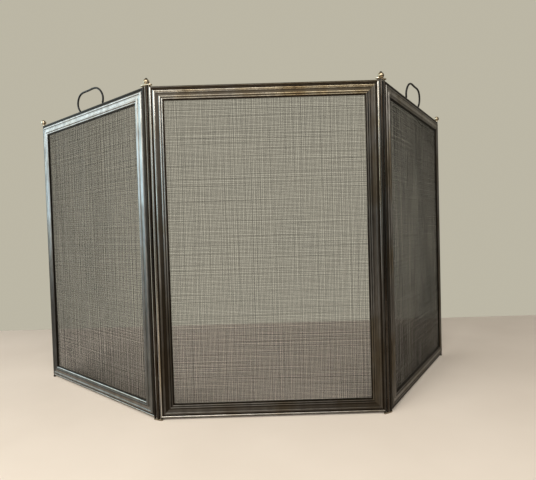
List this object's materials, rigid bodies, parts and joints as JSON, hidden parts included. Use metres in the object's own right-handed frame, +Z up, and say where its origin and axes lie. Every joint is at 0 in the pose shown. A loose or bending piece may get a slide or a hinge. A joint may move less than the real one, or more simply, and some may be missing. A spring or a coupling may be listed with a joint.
{
  "type": "folding fireplace screen",
  "caption": "Free-standing folding fireplace screen: moulded steel frames with woven wire mesh, joined by hinge posts with ball finials, and a carrying handle on each wing.",
  "frame": {"origin": "middle of the footprint's bounding box, on the floor", "axes": "+Z up, +X along the middle frame to the right as seen from the front, the middle frame faces -Y and the wings fold back to +Y"},
  "size_m": [1.2236, 0.4462, 0.7999],
  "materials": {
    "frame_steel": "worn polished steel with a brown patina",
    "back_steel": "dull dark steel",
    "rod_steel": "dark steel rod",
    "mesh_wire": "dark woven steel wire",
    "black_iron": "black wrought iron",
    "brass": "polished brass, a little tarnished"
  },
  "bodies": {
    "centre_frame": {"centre_bottom_rail": "frame_steel", "centre_bottom_strip": "back_steel", "centre_left_stile": "frame_steel", "centre_left_strip": "back_steel", "centre_mesh": "mesh_wire", "centre_right_stile": "frame_steel", "centre_right_strip": "back_steel", "centre_rivets": "back_steel", "centre_top_rail": "frame_steel", "centre_top_strip": "back_steel"},
    "left_post": {"left_foot_link": "brass", "left_frame_pivot": "rod_steel", "left_post_ball": "brass", "left_post_rod": "rod_steel", "left_top_link": "brass", "left_wing_pivot": "rod_steel"},
    "left_wing": {"left_bottom_rail": "frame_steel", "left_bottom_strip": "back_steel", "left_end_ball": "brass", "left_end_peg": "rod_steel", "left_end_rod": "rod_steel", "left_handle": "black_iron", "left_left_stile": "frame_steel", "left_left_strip": "back_steel", "left_mesh": "mesh_wire", "left_right_stile": "frame_steel", "left_right_strip": "back_steel", "left_rivets": "back_steel", "left_top_rail": "frame_steel", "left_top_strip": "back_steel"},
    "right_post": {"right_foot_link": "brass", "right_frame_pivot": "rod_steel", "right_post_ball": "brass", "right_post_rod": "rod_steel", "right_top_link": "brass", "right_wing_pivot": "rod_steel"},
    "right_wing": {"right_bottom_rail": "frame_steel", "right_bottom_strip": "back_steel", "right_end_ball": "brass", "right_end_peg": "rod_steel", "right_end_rod": "rod_steel", "right_handle": "black_iron", "right_left_stile": "frame_steel", "right_left_strip": "back_steel", "right_mesh": "mesh_wire", "right_right_stile": "frame_steel", "right_right_strip": "back_steel", "right_rivets": "back_steel", "right_top_rail": "frame_steel", "right_top_strip": "back_steel"}
  },
  "joints": [
    {"name": "left_post_on_frame", "type": "hinge", "parent": "centre_frame", "child": "left_post", "pos_m": [-0.20026, -0.21734, 0], "axis": [0, 0, -1], "range_deg": [-20.2, 67.8]},
    {"name": "left_wing_on_post", "type": "hinge", "parent": "left_post", "child": "left_wing", "pos_m": [-0.21716, -0.21112, 0], "axis": [0, 0, -1], "range_deg": [-20.2, 67.8]},
    {"name": "right_post_on_frame", "type": "hinge", "parent": "centre_frame", "child": "right_post", "pos_m": [0.30874, -0.21734, 0], "axis": [0, 0, 1], "range_deg": [-116.3, 16.7]},
    {"name": "right_wing_on_post", "type": "hinge", "parent": "right_post", "child": "right_wing", "pos_m": [0.32458, -0.2088, 0], "axis": [0, 0, 1], "range_deg": [-116.3, 16.7]}
  ]
}
